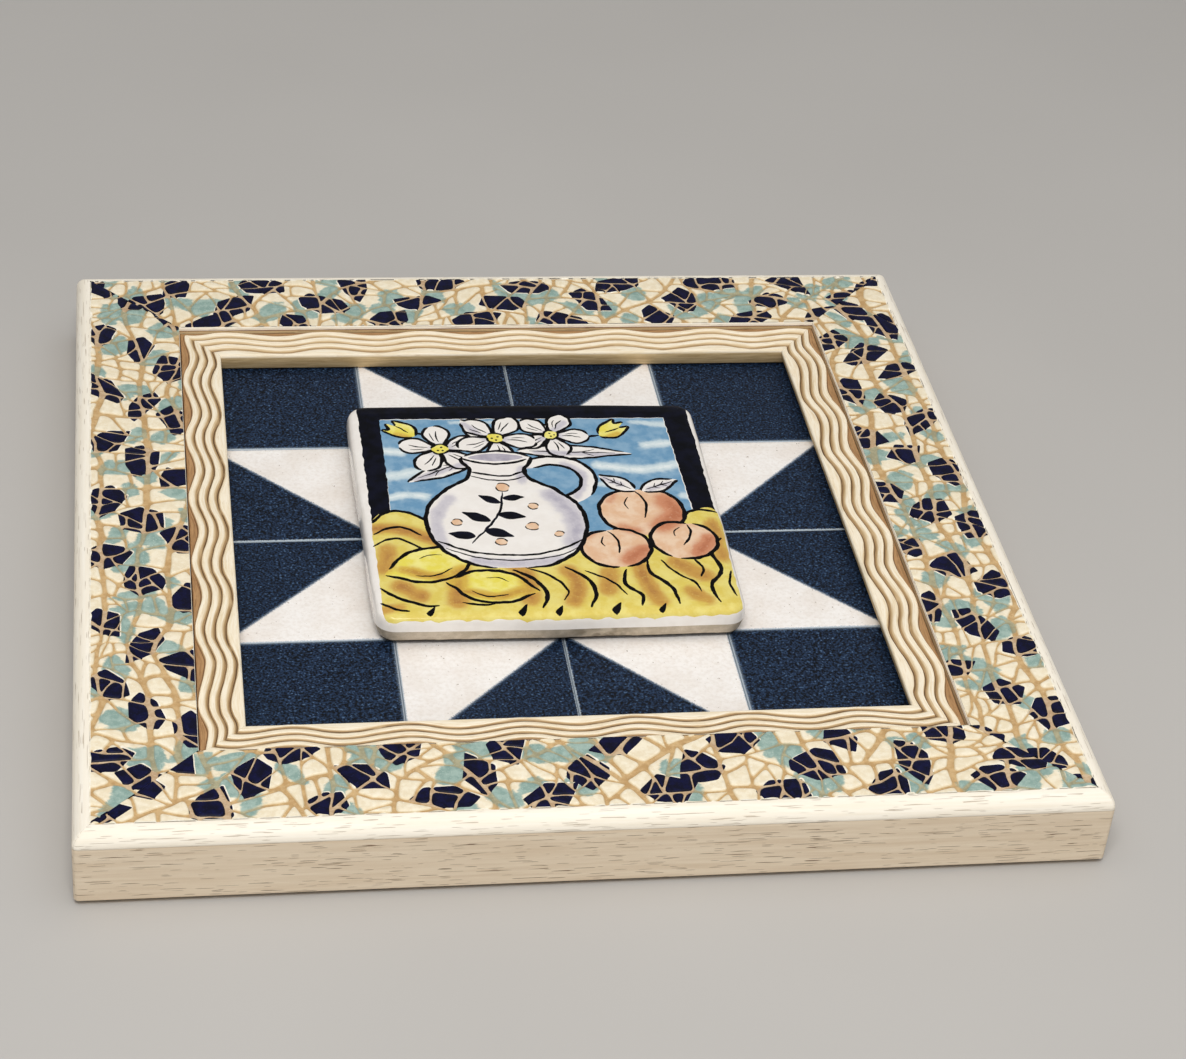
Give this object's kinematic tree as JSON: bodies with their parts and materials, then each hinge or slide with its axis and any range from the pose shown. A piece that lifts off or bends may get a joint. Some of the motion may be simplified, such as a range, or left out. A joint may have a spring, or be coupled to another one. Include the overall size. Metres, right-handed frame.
{
  "type": "mosaic panel",
  "caption": "Square framed wall panel: limed wood frame with a printed mosaic face, wave-carved liner, star field of navy and white tiles, and a raised painted picture tile.",
  "frame": {"origin": "middle of the panel's back, in the plane that meets the wall", "axes": "+Z out of the picture face, square to the wall; +Y towards the top edge of the picture, which is up when the panel hangs; +X to the right"},
  "size_m": [0.2906, 0.2906, 0.0246],
  "materials": {
    "limed_wood": "limed, satin; printed and embossed mosaic on the face",
    "washed_liner": "carved, cream wash over tan",
    "star_glaze": "satin, navy and white star pattern",
    "picture_glaze": "gloss, hand painted",
    "backing_board": "bare board"
  },
  "bodies": {
    "root": {"frame_rail_front": "limed_wood", "frame_rail_right": "limed_wood", "frame_rail_back": "limed_wood", "frame_rail_left": "limed_wood", "liner_rail_front": "washed_liner", "liner_rail_right": "washed_liner", "liner_rail_back": "washed_liner", "liner_rail_left": "washed_liner", "star_tile_1_1": "star_glaze", "star_tile_1_2": "star_glaze", "star_tile_1_3": "star_glaze", "star_tile_1_4": "star_glaze", "star_tile_2_1": "star_glaze", "star_tile_2_2": "star_glaze", "star_tile_2_3": "star_glaze", "star_tile_2_4": "star_glaze", "star_tile_3_1": "star_glaze", "star_tile_3_2": "star_glaze", "star_tile_3_3": "star_glaze", "star_tile_3_4": "star_glaze", "star_tile_4_1": "star_glaze", "star_tile_4_2": "star_glaze", "star_tile_4_3": "star_glaze", "star_tile_4_4": "star_glaze", "picture_tile": "picture_glaze", "backing_board": "backing_board"}
  },
  "joints": []
}
